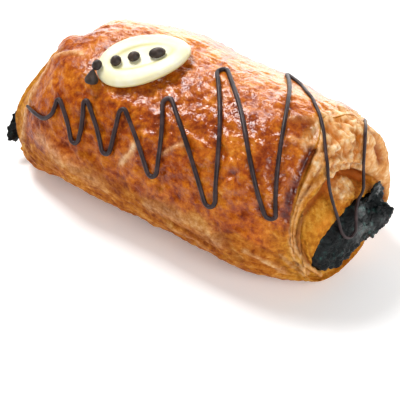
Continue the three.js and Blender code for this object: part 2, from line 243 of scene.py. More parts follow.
dough = {
    "sectors": 288, "sheetRings": 190, "tunnelDepths": [55, 44, 28, 0, -28, -44, -55],
    # the egg wash ends at this turn on the front, by the place along the roll
    "washFront": [(-57, 176), (-48, 183), (-31, 181), (-14.5, 178), (6.5, 176.5), (26, 174.5), (43, 178), (52, 192),
                  (60, 200)],
    "washBack": 12,
    # how far the torn edge of the glazed sheet stands off the layers under it, by turn
    "edgeStep": [(0, 0.3), (40, 0.1), (90, 0.1), (102, 0.4), (118, 0.7), (145, 0.7), (162, 0.4), (178, 0.1),
                 (300, 0.1)],
    # where the pale strip along the left edge of the sheet begins, by turn
    "edgeStrip": [(119, -46), (126, -48.5), (135, -49), (144, -49.8), (154, -51), (161, -51.5), (170, -51.5),
                  (180, -52.5), (194, -54), (208, -54)],
    # the layers' spacing, the lowest and highest relief, and the level below which the dough lies flat
    "layerSpacing": 1.25, "reliefRange": (-1.6, 1.0), "flatLevel": 0.6,
    # pattern sizes along x, y and z, and heights
    "wrinkles": (13, 2.4, 2.4), "wrinkleHeight": 1.3, "crumple": (4.6, 3.4, 3.4), "crumpleHeight": 0.65,
    "folds": (6, 4, 4), "foldHeight": 0.9, "flaky": (7, 2.8, 1.6), "flakyHeight": 0.5, "warp": (8, 8, 8),
    "warpHeight": 1.3, "layerHeight": 0.4, "pores": (2.6, 2.6, 2.6), "poreHeight": 0.1, "pits": (3.2, 3.2, 3.2),
    "pitHeight": 1.1, "creasesAlong": (7, 3.6, 3.6), "creasesAcross": (3.6, 6, 3.6), "creaseDepth": 0.5,
}
arcPerDegree = 0.49  # millimetres round the roll for one degree of turn

# Ridges, grooves and stains drawn over the dough: a line, its reach and height, and how far it turns the dough round
# it pale, amber, burnt and shaded, or shaded as in a deep groove. The burnt and shade tint is the scorched colour of
# the crust's edges and also painted shade in grooves, slits and recesses; the groove shade is painted shade.
# On the sheet the line is (x, turn), with a reach in millimetres. Round the right end it is drawn as the end is seen
# from the front right, in four hundredths of the view's width.
sheetStrokes = [
    ([(-36, 117), (-41.5, 119), (-45.8, 122.5), (-48.5, 126), (-49, 135.5), (-49.8, 144), (-51, 154), (-51.5, 161.5),
      (-51.5, 170.5), (-52.5, 180.5), (-54, 194.5)], 0.9, 0.7, {"pale": 0.45}),
    ([(8.5, 151), (11, 146), (14.2, 140.5)], 0.6, 0.45, {"pale": 0.4}),
    ([(-6, 166), (-3.5, 160), (-2, 153)], 1.1, 0.4, {"pale": 0.7}),
    ([(52, 108), (52.2, 118), (52.2, 127), (51.6, 136), (51.3, 146), (51.3, 156)], 1.3, -0.35, {"burntAndShade": 1}),
    ([(44.5, 112), (48, 109.5), (51.5, 107.5)], 0.9, 0.6, {"pale": 0.25}),
    ([(43, 101), (46.5, 98), (49.5, 101)], 2.6, -0.2, {"burntAndShade": 0.45}),
    ([(46.5, 119), (46, 126), (46.5, 133)], 1.8, 0.3, {"burntAndShade": 0.15}),
    ([(6, 184), (12, 182), (18, 181.5), (24, 182), (29, 183), (33, 186)], 2.3, 0.8, {"pale": 0.22}),
    ([(10, 189), (16, 190.5), (21, 191.5), (25.5, 194), (30, 197)], 0.9, -0.6, {"burntAndShade": 0.35}),
    ([(12, 195), (18, 197), (23, 199), (29, 203)], 0.9, 0.4, {"pale": 0.2}),
    ([(34, 180), (36, 186), (37.5, 192), (39.5, 198)], 2, -0.5, {"burntAndShade": 0.4}),
    ([(-30, 182), (-24.5, 183), (-19.8, 186), (-14, 188)], 2.4, 0.3, {"pale": 0.2}),
    ([(-42, 176), (-36.2, 178), (-32, 181)], 2, 0.3, {"pale": 0.3}),
    ([(-23, 171), (-18, 173), (-13, 178), (-8, 181)], 2.6, 0.2, {"burntAndShade": 0.3}),
    ([(40, 103), (43.5, 96), (48, 89)], 0.7, 0.5, {"pale": 0.3}),
    ([(-50, 160), (-48.5, 152), (-44.5, 142)], 2.2, -0.3, {"burntAndShade": 0.25}),
    ([(46, 182), (50, 187), (53, 196), (55, 208)], 0.8, -0.5, {"burntAndShade": 0.3}),
    ([(42, 187), (46, 192), (50, 201), (52, 212)], 0.9, 0.5, {"pale": 0.35}),
]
# The burnt and shade tint on the dark border along the torn sheet is the sheet's scorched colour; in the grooves
# between the wraps, under the arch lips, in the recess beneath them, in the slit at the back and in the hollows under
# the torn flakes it is painted shade.
endStrokes = [
    ([(314.5, 150), (309.5, 158), (304.5, 167), (300, 177), (294, 187), (289, 198), (286.5, 208)], 3.2, -0.3,
      {"burntAndShade": 1}),
    ([(311, 150), (306, 160), (302, 169)], 4.9, 0, {"burntAndShade": 1}),
    ([(296, 181), (291, 192), (287, 204)], 5.3, 0, {"burntAndShade": 1}),
    ([(286.5, 208), (284.5, 220), (285, 230)], 2.4, -0.2, {"burntAndShade": 0.5}),
    ([(290, 140), (302, 142.5), (316, 147.5)], 1.8, 0.9, {"amber": 0.9}),
    ([(322, 141), (320, 148), (317, 156), (313, 170), (305, 187), (297, 206), (292, 223), (291, 236), (292, 250),
      (298, 264), (308, 273)], 1.9, 0.8, {"pale": 0.4, "amber": 0.4}),
    ([(322, 166), (314, 179), (307, 190), (300.5, 201)], 1.4, -0.7, {"burntAndShade": 0.5}),
    ([(327, 174), (320, 182), (311.5, 188), (304, 197), (300.5, 207), (296, 221), (294.5, 236), (297, 250),
      (306, 265), (320, 274)], 1.7, 0.8, {"pale": 0.35, "amber": 0.4}),
    # painted shade along the deep groove round the inner wrap
    ([(330, 180), (326, 184), (320, 192), (314, 200), (308, 208), (302.5, 217), (299, 228), (298, 240), (301, 253),
      (309, 265)], 2.4, -0.6, {"burntAndShade": 0.1, "grooveShade": 0.75}),
    ([(316, 163), (319, 167), (315, 173)], 3.2, 0.2, {"pale": 0.85}),
    ([(326, 165), (333, 161.5), (339, 160.5), (352, 160.5), (361, 162), (368, 166)], 1.7, 0.9,
      {"pale": 0.3, "amber": 0.7}),
    ([(332, 157), (345, 156.5), (360, 157.5)], 1.5, -0.6, {"burntAndShade": 0.35}),
    ([(330, 169.5), (337, 165.5), (350, 164.5), (361, 166)], 1.2, -0.8, {"burntAndShade": 0.6}),
    ([(329, 174), (335, 170), (342, 168.5), (352, 168), (362, 170.5)], 1.7, 0.7, {"pale": 0.35, "amber": 0.5}),
    ([(343, 173), (349, 172), (356, 173), (360, 177)], 4.2, -0.7, {"burntAndShade": 0.6}),
    ([(357, 181), (359, 188), (357, 194)], 3.8, -0.6, {"burntAndShade": 0.5}),
    ([(336, 185), (344, 181), (349, 187), (342, 196), (336, 190)], 4.6, 0.5, {"pale": 0.7}),
    ([(341, 176), (337, 183), (335, 192)], 1.3, 0.6, {"pale": 0.7}),
    ([(318, 230), (325, 222), (332, 213), (340, 204)], 4.5, 0.2, {"amber": 0.5}),
    ([(309, 244), (310, 254), (315, 263)], 1.5, -0.3, {"burntAndShade": 0.3}),
    ([(304.5, 241), (305, 254), (310, 264), (320, 271)], 1.5, -0.3, {"burntAndShade": 0.25}),
    ([(378, 147), (380.5, 155), (382, 163)], 2.7, -1.7, {"burntAndShade": 1}),
    ([(330, 145), (334, 150)], 4, 0.3, {"pale": 0.8}),
    ([(345, 139), (351, 146)], 3.5, 0.3, {"pale": 0.6}),
    ([(337, 152), (347, 153.5), (357, 150)], 1.4, -0.6, {"burntAndShade": 0.4}),
    ([(355, 145), (361, 142)], 2, -0.7, {"burntAndShade": 0.5}),
    ([(378, 184), (383, 190), (384, 200)], 2.6, -0.3, {"burntAndShade": 1}),
    ([(327, 127), (333, 133), (338, 138)], 2.4, -0.6, {"burntAndShade": 0.2, "amber": 0.8}),
    ([(342, 124), (348, 131)], 2, -0.5, {"amber": 0.8}),
    ([(319, 113), (330, 119), (345, 126), (356, 129)], 1.4, 0.6, {"pale": 0.5}),
    ([(322, 121), (331, 125), (341, 133), (343, 143)], 1.2, 0.6, {"pale": 0.4}),
    ([(345, 115), (353, 123), (364, 129), (373, 139)], 1.3, 0.5, {"pale": 0.4}),
    ([(367, 128), (374, 134), (379, 140)], 1.5, -0.6, {"burntAndShade": 0.3, "amber": 0.8}),
    ([(277, 261), (287, 270), (299, 277)], 1.4, -0.5, {"burntAndShade": 0.35}),
    ([(281, 256), (292, 266), (305, 275)], 1.4, 0.5, {"pale": 0.35}),
    ([(286, 251), (296, 262), (311, 272)], 1.2, -0.5, {"burntAndShade": 0.35}),
]


def lineDistance(here, line):
    points = [np.array(point, float) for point in line]
    best = np.full(here.shape[:-1], 1e3)
    for a, b in zip(points, points[1:]):
        share = np.clip(((here - a) @ (b - a)) / ((b - a) @ (b - a)), 0, 1)
        best = np.minimum(best, np.linalg.norm(here - a - share[..., None] * (b - a), axis=-1))
    return best


def drawStrokes(x, turn, places, sheet, onEnd, values):
    # Returns the strokes' heights, and adds their tints to the values
    height = np.zeros(x.shape)
    waver = 0.5 * noiseOver(places, (3, 3, 3), 5.5, 2)
    onSheet = np.stack([x, turn * arcPerDegree], -1)
    nearEnd = (x > 35) * smoothStep(-40, 0, turn) * smoothStep(300, 270, turn)
    for strokes, here, share, scale, stray in ((sheetStrokes, onSheet, sheet, arcPerDegree, 1),
                                               (endStrokes, inFrame(places), nearEnd * np.maximum(sheet, onEnd), 1, 2)):
        for line, reach, rise, tints in strokes:
            away = np.abs(lineDistance(here, [(u, v * scale) for u, v in line]) + stray * waver)
            mark = bell(away, reach) * share
            height += rise * mark
            for tint in ("pale", "burntAndShade", "amber", "grooveShade"):
                values[tint] = np.maximum(values.get(tint, 0 * x), tints.get(tint, 0) * mark)
    return height


def washShare(x, turn, places):
    # 1 where egg wash was brushed on, 0 on the bare dough below
    front = np.interp(x, *zip(*dough["washFront"])) + 5 * noiseOver(places, (7, 5, 5), 3.1, 2)
    return smoothStep(4, -3, turn - front) * smoothStep(-6, 6, turn - dough["washBack"])


def crownShare(turn):
    return smoothStep(118, 104, turn) * smoothStep(-30, 10, turn)


def tornShare(x, turn):
    # the right end of the crown, where the glazed sheet has torn away
    return smoothStep(44, 47.5, x - 0.05 * np.abs(turn - 78)) * crownShare(turn)


def leftShoulder(x, turn):
    # the left end of the front, where the crust is calmer
    return smoothStep(-26, -36, x) * smoothStep(92, 106, turn)


def tornLeaves(places):
    # heights of crumpled torn leaves, their creases and their raised flakes
    pits = noiseOver(places, dough["pits"], 9.4, 3)
    creases = np.maximum(bell(noiseOver(places, dough["creasesAlong"], 12.3, 2), 0.08),
                         bell(noiseOver(places, dough["creasesAcross"], 15.1, 2), 0.07))
    height = dough["pitHeight"] * pits - 0.25 - dough["creaseDepth"] * creases
    return height, creases, smoothStep(-0.05, 0.2, pits) * (1 - creases)


def sheetRelief(x, turn, places):
    wash, torn = washShare(x, turn, places), tornShare(x, turn)
    top = bell(turn - 74, 30)
    # the skin of the crown is drawn into long wrinkles at the back, and crumpled like foil on the front
    wrinkles = 0.28 - np.abs(noiseOver(places, dough["wrinkles"], 0.4, 2))
    crumple = noiseOver(places, dough["crumple"], 7.7, 2)
    folds = 0.22 - np.abs(noiseOver(places, dough["folds"], 2.9, 2))
    flaky = noiseOver(places, dough["flaky"], 5.2, 3)
    foil = dough["crumpleHeight"] * crumple + dough["foldHeight"] * folds
    relief = dough["wrinkleHeight"] * top * (1 - torn) * (1 - 0.75 * smoothStep(84, 66, turn)) * wrinkles
    relief += wash * (1 - 0.7 * top) * (1 - 0.5 * leftShoulder(x, turn)) * foil
    relief += (1 - wash) * (dough["flakyHeight"] + 0.3 * smoothStep(188, 198, turn)) * flaky
    return relief + torn * tornLeaves(places)[0]


def ringMaker(edge, mouth, rings):
    def addRing(x, share, **facts):
        place = mouth + (edge - mouth) * np.broadcast_to(share, edge.shape[:1])[:, None]
        place[:, 0] = x
        rings.append({"place": place, **facts})
    return addRing


def leftRings(angle):
    edge = sheetPoint(around(leftWraps[0], angle), angle)
    rings = []
    addRing = ringMaker(edge, bandPoint(0, angle, 1, roll["clearance"]), rings)
    for index, wrap in enumerate(leftWraps):
        nextWrap = leftWraps[index + 1] if index + 1 < len(leftWraps) else None
        for step in np.linspace(0, 1, wrap["steps"]):
            rounding = wrap["rounded"] * (2 * step - 1) ** 2 if nextWrap else 5 * (1 - step) ** 2.2
            addRing(around(wrap, angle) + rounding, wrap["outer"] + (wrap["inner"] - wrap["outer"]) * step)
        if nextWrap:
            recess = 0.35 + 0.65 * bell(angleBetween(angle, math.radians(wrap["recess"])), 0.9)
            lip = np.maximum(around(wrap, angle), around(nextWrap, angle) + 1)
            for part, depth in ((0.2, 0.75), (0.5, 1.0), (0.8, 0.75)):
                share = wrap["inner"] + (nextWrap["outer"] - wrap["inner"]) * part
                addRing(lip + depth * wrap["groove"] * recess, share, hollow=recess * wrap["groove"] / fullShadeDepth)
    return rings[::-1]


def rightRings(angle):
    turn = np.degrees(angle)
    edge = sheetPoint(around(rightEnd["mouldEdge"], angle), angle)
    rings = []
    addRing = ringMaker(edge, bandPoint(0, angle, 1, roll["clearance"]), rings)
    sheetEdge, lip = byTurn(rightEnd["sheetEdge"], turn), byTurn(rightEnd["layersLip"], turn)
    lipShare, grooveShare = byTurn(rightEnd["lipShare"], turn), byTurn(rightEnd["grooveShare"], turn)
    depth, inner = byTurn(rightEnd["grooveDepth"], turn), byTurn(rightEnd["innerLip"], turn)
    # how far the roll's own form has narrowed on the way to the lip, as a share of the end face
    narrowed = np.linalg.norm((sheetPoint(sheetEdge, angle) - edge)[:, 1:], axis=-1)
    thickness = np.linalg.norm((edge - bandPoint(0, angle, 1, 0))[:, 1:], axis=-1)
    start = 1 - np.sign(sheetEdge - around(rightEnd["mouldEdge"], angle)) * narrowed / thickness
    stands = byTurn(dough["edgeStep"], turn)
    for step in np.linspace(0, 1, rightEnd["edgeSteps"]):
        addRing(sheetEdge - 0.7 * stands * (2 * step - 1) ** 2, start - stands * step * 1.2 / thickness)
    first = start - stands * 1.4 / thickness
    addRing(sheetEdge - 1.0 * stands, first - 0.2 / thickness, hollow=0.55 * stands)
    for step in np.linspace(0.04, 1, rightEnd["faceSteps"]):
        addRing(sheetEdge - 0.8 * stands + (lip - 0.6 - sheetEdge + 0.8 * stands) * step ** 0.85,
                first + (rightEnd["faceShare"] - first) * step ** 1.3, torn=1.0)
    for step in np.linspace(0.06, 1, rightEnd["lipSteps"]):
        addRing(lip + 0.7 - 1.3 * (2 * step - 1) ** 2, rightEnd["faceShare"] * (1 - step) + lipShare * step, torn=1.0)
    for part, deep in ((0.3, 0.6), (0.6, 0.9), (1, 1.0)):
        addRing(lip - 0.6 - depth * deep, lipShare + (grooveShare - lipShare) * part, hollow=depth / fullShadeDepth * deep)
    bottom = lip - 0.6 - depth
    for step in np.linspace(0.05, 1, rightEnd["innerSteps"]):
        rise = 1 - (1 - step) ** 2.4
        addRing(bottom + (inner - bottom) * rise, grooveShare + (0.04 - grooveShare) * step,
                hollow=np.maximum(0, depth / fullShadeDepth * (1 - step * 5)))
    return rings


def sheetRings(angle):
    start = around(leftWraps[0], angle) + 1.6
    turn = np.degrees(angle)
    end = byTurn(rightEnd["sheetEdge"], turn) - 0.2 - 0.7 * byTurn(dough["edgeStep"], turn)
    return [{"place": sheetPoint(start + (end - start) * step, angle), "sheet": 1.0}
            for step in np.linspace(0, 1, dough["sheetRings"])]


def closedSkin(places, values):
    # A tube through rows of points that closes on itself both ways, with the values as point attributes
    rows, columns = places.shape[:2]
    bm = bmesh.new()
    bmesh.ops.create_grid(bm, x_segments=rows, y_segments=columns, size=1)
    mesh = bpy.data.meshes.new("skin")
    bm.to_mesh(mesh)
    flat = np.zeros(len(mesh.vertices) * 3)
    mesh.vertices.foreach_get("co", flat)
    flat = flat.reshape(-1, 3)
    row = np.rint((flat[:, 0] + 1) / 2 * rows).astype(int) % rows
    column = np.rint((flat[:, 1] + 1) / 2 * columns).astype(int) % columns
    mesh.vertices.foreach_set("co", (places[row, column] * mm).ravel())
    for name, value in values.items():
        attribute = mesh.attributes.new(name, "FLOAT", "POINT")
        attribute.data.foreach_set("value", value[row, column].astype(np.float32))
    bm.clear()
    bm.from_mesh(mesh)
    bmesh.ops.remove_doubles(bm, verts=bm.verts, dist=1e-6)
    bmesh.ops.recalc_face_normals(bm, faces=bm.faces)
    bm.to_mesh(mesh)
    bm.free()
    return mesh


def doughMesh():
    angle = np.arange(dough["sectors"]) / dough["sectors"] * 2 * math.pi
    rings = leftRings(angle) + sheetRings(angle) + rightRings(angle)
    for depth in dough["tunnelDepths"]:
        rings.append({"place": bandPoint(depth, angle, 1, roll["clearance"]), "tunnel": 1.0, "hollow": 1.0})

    def gathered(key):
        return np.stack([np.broadcast_to(r.get(key, 0.0), angle.shape) for r in rings])

    places = np.stack([r["place"] for r in rings])
    sheet, tunnel, hollow = gathered("sheet"), gathered("tunnel"), gathered("hollow")
    turn = np.degrees(angle)[None, :] + 0 * sheet
    turn = np.where(turn > 300, turn - 360, turn)
    alongRing = np.roll(places, -1, 1) - np.roll(places, 1, 1)
    acrossRings = np.roll(places, -1, 0) - np.roll(places, 1, 0)
    normal = np.cross(alongRing, acrossRings)
    normal /= np.linalg.norm(normal, axis=-1, keepdims=True) + 1e-9
    if normal[len(rings) // 3, dough["sectors"] // 4, 2] < 0:
        normal = -normal
    x = places[..., 0]
    onEnd = (1 - sheet) * (1 - tunnel)
    # laminations run round the end faces
    travelled = np.cumsum(np.linalg.norm(np.diff(places, axis=0, prepend=places[:1]), axis=-1) * onEnd, axis=0)
    warp = dough["warpHeight"] * noiseOver(places, dough["warp"], 2.2, 2)
    layers = np.stack([(travelled + warp) / dough["layerSpacing"], turn / 18, np.sign(x) * 3.3], -1)
    layered = dough["layerHeight"] * noiseOver(layers, (1, 1, 1), 4.8, 2)
    porous = dough["poreHeight"] * noiseOver(places, dough["pores"], 6.1, 3)
    crown, torn = crownShare(turn) * (x > 0), tornShare(x, turn)
    tornHeight, creases, flakes = tornLeaves(places)
    calm = 0.3 + 0.7 * smoothStep(52, 74, turn)
    seam = 1 - crown * smoothStep(1.6, 0.4, np.abs(x - byTurn(rightEnd["sheetEdge"], turn)))
    tornHere = np.maximum(torn * sheet, gathered("torn") * crown)
    # the creases of the torn leaves are tinted amber and darker, and their raised flakes paler
    values = {"amber": creases * tornHere * calm, "burntAndShade": 0.3 * creases * tornHere * calm,
              "pale": 0.9 * flakes * tornHere * calm}
    relief = sheetRelief(x, turn, places) * sheet * seam
    relief += onEnd * (1 - crown) * (layered + porous) + onEnd * crown * calm * seam * tornHeight
    relief += drawStrokes(x, turn, places, sheet, onEnd, values)
    relief *= np.where(places[..., 2] < dough["flatLevel"], 0, 1)
    places = places + normal * np.clip(relief, *dough["reliefRange"])[..., None]
    places[..., 2] = np.maximum(places[..., 2], 0)
    strip = np.interp(turn, *zip(*dough["edgeStrip"]))
    edgeStrip = sheet * smoothStep(0.6, -0.6, x - strip) * smoothStep(112, 122, turn)
    # below the egg wash the sheet passes softly into the layers of the end
    merging = smoothStep(-9, -1, x - byTurn(rightEnd["sheetEdge"], turn)) * smoothStep(160, 178, turn)
    leftFront = np.maximum(leftShoulder(x, turn), smoothStep(5, -18, x) * smoothStep(128, 142, turn))
    values.update({
        "wash": washShare(x, turn, places) * sheet * (1 - 0.75 * edgeStrip) * (1 - 0.5 * torn) * (1 - 0.6 * merging),
        "layer": np.maximum(onEnd, sheet * np.maximum(np.maximum(torn, 0.8 * edgeStrip), merging)),
        # recess shade: painted shade in the grooves, in the tunnel round the filling, under the torn sheet's edge and
        # in the dents of the cut ends
        "recessShade": np.clip(hollow + np.clip(-0.5 * relief * onEnd, 0, 0.5), 0, 1),
        "torn": tornHere,
        "relief": relief,
        "sheen": (smoothStep(170, 150, turn) * 0.85 + 0.15) * (1 - 0.7 * leftFront),
        # painted sheen and shade: the crown's top is painted lighter where it catches the sheen, and the back rim below
        # it darker
        "paintedSheenAndShade": (bell(turn - 74, 18) - 0.7 * smoothStep(60, 38, turn)) * sheet,
        "calm": np.maximum(bell(turn - 62, 28), 0.8 * leftFront) * sheet,
    })
    return closedSkin(places, values)


# name, pattern size in millimetres, stretch, detail
pastryGrains = [
    ("patches", 8.5, (1, 1, 1), 6), ("flecks", 1.8, (1, 1, 1), 6), ("streaks", 2.6, (0.35, 1, 1), 5),
    ("crackle", 1.2, (1, 1, 1), 1.5),
]
pastrySums = [
    # besides random mottle this paints the relief's ridges lighter and its valleys darker as light and shade, and
    # carries the painted sheen and shade of the crown
    ("mottleAndShade", [("patches", 0.52), ("flecks", 0.48), ("relief", 0.05), ("paintedSheenAndShade", 0.13)]),
    ("streaky", [("patches", 0.32), ("streaks", 0.3), ("flecks", 0.38)]),
    ("gloss", [("glossy", 0.74)]),
]
pastryColours = [
    ("glazed", "mottleAndShade", [(0.38, "#762804"), (0.45, "#98400a"), (0.51, "#b3580d"), (0.58, "#c97016"),
                          (0.67, "#dc9038")]),
    ("bare", "streaky", [(0.41, "#7c3404"), (0.475, "#a3560f"), (0.54, "#bc7424"), (0.62, "#d69c50")]),
    ("leaves", "streaky", [(0.39, "#94500a"), (0.475, "#b56f16"), (0.55, "#cc8d2e"), (0.64, "#e2ae57")]),
    ("tornLeaves", "streaky", [(0.39, "#c87a36"), (0.49, "#e3a765"), (0.6, "#f6cf9f")]),
    ("cream", "flecks", [(0.38, "#e0a35c"), (0.52, "#f2cb96"), (0.64, "#fbe6c2")]),
    ("scorchedAndShade", "flecks", [(0.38, "#4a1206"), (0.52, "#64200a"), (0.66, "#7e300c")]),
]
pastryFinish = {"amber": "#d88224", "grooveShade": "#7a5330", "recessShade": "#ad5a1c", "washedRoughness": 0.34,
                "bareRoughness": 0.62, "blister": 2.6, "blisterHeight": 0.27}


# Puff pastry brushed with egg wash and baked: amber to red-brown and glossy where it was brushed, pale gold and
# matte below and on the cut ends, where its layers show
def pastryMaterial():
    material, tree = newMaterial("eggWashedPuffPastry")
    place = addNode(tree, "ShaderNodeTexCoord").outputs["Object"]
    facts = {name: addNode(tree, "ShaderNodeAttribute", attribute_name=name).outputs["Fac"]
             for name in ("wash", "layer", "torn", "recessShade", "relief", "sheen", "paintedSheenAndShade", "calm", "pale", "burntAndShade",
                          "amber", "grooveShade")}
    for name, size, stretch, detail in pastryGrains:
        vector = addNode(tree, "ShaderNodeMapping", {"Vector": place, "Scale": stretch}).outputs[0]
        facts[name] = addNode(tree, "ShaderNodeTexNoise", {"Vector": vector, "Scale": 1000 / size, "Detail": detail,
                                                           "Roughness": 0.65}).outputs["Fac"]
    # blisters of the crust: flat cells, each tilted its own way, which catch the light singly
    cells = addNode(tree, "ShaderNodeTexVoronoi", {"Vector": place, "Scale": 1000 / pastryFinish["blister"]})
    offset = addNode(tree, "ShaderNodeVectorMath", {0: place, 1: cells.outputs["Position"]},
                     operation="SUBTRACT").outputs[0]
    lean = addNode(tree, "ShaderNodeVectorMath", {0: cells.outputs["Color"], 1: (0.5, 0.5, 0.5)},
                   operation="SUBTRACT").outputs[0]
    tilted = addNode(tree, "ShaderNodeVectorMath", {0: offset, 1: lean}, operation="DOT_PRODUCT").outputs["Value"]
    facts["glossy"] = addNode(tree, "ShaderNodeMath", {0: facts["wash"], 1: facts["sheen"]},
                              operation="MULTIPLY").outputs[0]
    for name, parts in pastrySums:
        facts[name] = 0.0
        for part, weight in parts:
            facts[name] = addNode(tree, "ShaderNodeMath", {0: facts[part], 1: weight, 2: facts[name]},
                                  operation="MULTIPLY_ADD").outputs[0]
    coats = {name: addNode(tree, "ShaderNodeValToRGB", {"Fac": facts[grain]}, stops=stops).outputs["Color"]
             for name, grain, stops in pastryColours}
    coats["leaves"] = addNode(tree, "ShaderNodeMix", {0: facts["torn"], 6: coats["leaves"], 7: coats["tornLeaves"]},
                              data_type="RGBA").outputs[2]
    colour = coats["bare"]
    coats.update({stain: linearColour(pastryFinish[stain]) for stain in ("amber", "grooveShade", "recessShade")})
    # The burnt and shade tint is partly scorched crust and partly painted shade; the groove shade and the recess shade
    # are painted shade in grooves, recesses and the tunnel.
    for share, above in (("wash", coats["glazed"]), ("layer", coats["leaves"]), ("amber", coats["amber"]),
                         ("grooveShade", coats["grooveShade"]), ("pale", coats["cream"]), ("burntAndShade", coats["scorchedAndShade"]),
                         ("recessShade", coats["recessShade"])):
        colour = addNode(tree, "ShaderNodeMix", {0: facts[share], 6: colour, 7: above}, data_type="RGBA").outputs[2]
    roughness = addNode(tree, "ShaderNodeMapRange", {"Value": facts["wash"], "To Min": pastryFinish["bareRoughness"],
                                                     "To Max": pastryFinish["washedRoughness"]}).outputs[0]
    strength = addNode(tree, "ShaderNodeMapRange", {"Value": facts["calm"], "To Min": 1.0, "To Max": 0.2}).outputs[0]
    facets = addNode(tree, "ShaderNodeBump", {"Height": tilted, "Strength": strength,
                                              "Distance": pastryFinish["blisterHeight"]}).outputs[0]
    coarse = addNode(tree, "ShaderNodeBump", {"Height": facts["streaks"], "Normal": facets, "Strength": 0.5,
                                              "Distance": 0.0005}).outputs[0]
    fine = addNode(tree, "ShaderNodeBump", {"Height": facts["crackle"], "Normal": coarse, "Strength": 0.6,
                                            "Distance": 0.0005}).outputs[0]
    shader = addNode(tree, "ShaderNodeBsdfPrincipled", {
        "Base Color": colour, "Roughness": roughness, "Normal": fine, "IOR": 1.45, "Specular IOR Level": 0.12,
        "Coat Weight": facts["gloss"], "Coat Roughness": 0.07, "Coat IOR": 1.5, "Coat Normal": fine,
        "Subsurface Weight": 0.05, "Subsurface Radius": (1, 0.45, 0.2), "Subsurface Scale": 0.001})
    addNode(tree, "ShaderNodeOutputMaterial", {"Surface": shader.outputs[0]})
    return material


doughPiece = finishPiece("baked_dough", doughMesh(), pastryMaterial(), ["dough"])
print("dough:", len(doughPiece.data.polygons), "faces")


# The filling: a dense dark bar right through the roll, crumbly and lumpy where it stands out, with torn slabs

filling = {
    "rings": [(-64.6, 0.02), (-64.5, 0.3), (-64.2, 0.6), (-63.8, 0.8), (-63.2, 0.9), (-62.6, 0.95), (-61, 1), (-56, 1),
              (-28, 1), (28, 1), (56, 1), (58.5, 1), (60.4, 0.97), (61.2, 0.9), (61.8, 0.78), (62.2, 0.55),
              (62.5, 0.3), (62.6, 0.02)],
    "rightFlake": [(59.5, 14.5, 20.5), (59.5, 15.5, 15), (59.5, 10, 11), (59.5, 8, 19.5), (63.6, 10.7, 21.7),
                   (66.5, 13.5, 20.2), (66.2, 13.6, 17.9), (66.2, 9.8, 14.7), (64.8, 11.5, 12.7), (64.8, 8, 11.8),
                   (63.6, 6.6, 10.8), (63.6, 4.8, 12.4), (63.2, 3.6, 17.1)],
    "rightSpur": [(60.6, 6.3, 22.5), (60.6, 10.6, 27), (60.6, 13.6, 27), (60.6, 15.4, 22), (60.6, 14, 18.6),
                  (61.8, 5.6, 25.4), (61.8, 8.6, 29.1), (61.8, 12.1, 29.5), (61.8, 14, 27), (61.8, 14.6, 24),
                  (62, 13, 20.7)],
    "leftFlake": [(-61.9, -12, 18.5), (-61.9, -15.5, 16), (-61.9, -13.5, 11), (-63, -17.2, 16.5), (-65.8, -17.2, 17.2),
                  (-66.3, -19.8, 13.9), (-66.5, -20.9, 11.4), (-66.1, -22.2, 9.2), (-65.5, -20.9, 6.8),
                  (-64.5, -18.5, 4.8), (-66.3, -15.5, 7)],
    "voxel": 0.42, "sectors": 96, "sag": 1.1, "farthest": 66.45,
    # sizes and heights of the lumps and crumbs, and of the patches and grain of its colour
    "lump": 3.4, "lumpHeight": 0.9, "crumb": 1.1, "crumbHeight": 0.6, "sunk": 0.3, "patch": 2.38, "grain": 0.6667,
    # wet places: x, y, z and reach
    "wet": [(61.4, 3.6, 22.3, 2.6), (62.6, 2.6, 16.2, 3.6), (61.8, 12, 26, 2), (64.5, 10, 17, 1.6)],
}


